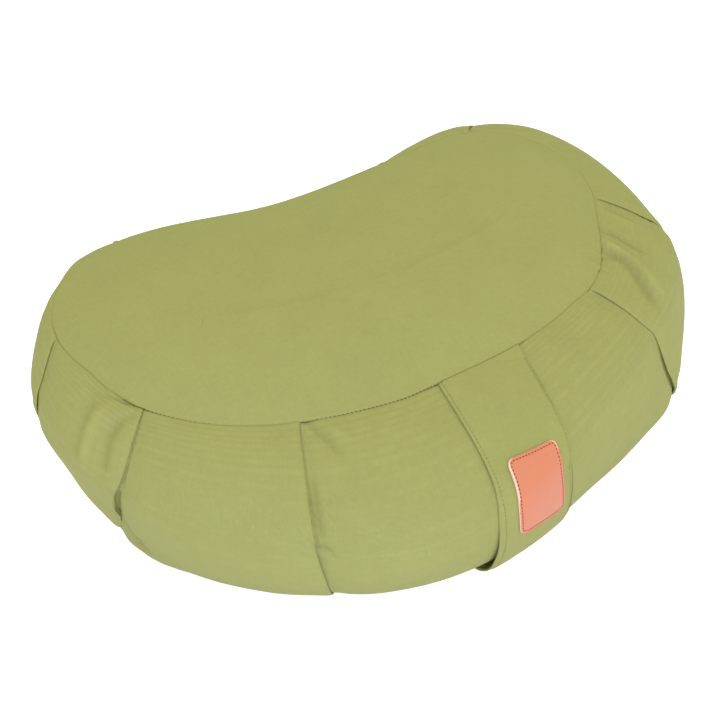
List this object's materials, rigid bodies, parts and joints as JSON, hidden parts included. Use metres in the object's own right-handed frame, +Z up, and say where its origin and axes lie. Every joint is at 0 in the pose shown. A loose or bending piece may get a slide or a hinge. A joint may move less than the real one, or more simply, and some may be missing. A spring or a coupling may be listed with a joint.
{
  "type": "crescent meditation cushion",
  "caption": "Kidney-shaped floor cushion for sitting: a crowned top panel, a bulging pleated side band, a flat base, a carry strap over the convex front and a small blank patch on the strap.",
  "frame": {"origin": "middle of the footprint, on the surface that the cushion rests on", "axes": "+X along the crescent, -Y towards its convex front with the strap, +Y towards its hollow back, +Z up"},
  "size_m": [0.4562, 0.3184, 0.1405],
  "materials": {
    "cotton": "matt plain-weave cotton, dyed one olive green all over",
    "leather": "smooth coral leather with a slight sheen and a pale cut edge"
  },
  "bodies": {
    "root": {"filled_side_band": "cotton", "top_panel": "cotton", "base_panel": "cotton", "carry_strap": "cotton", "patch": "leather"}
  },
  "joints": []
}
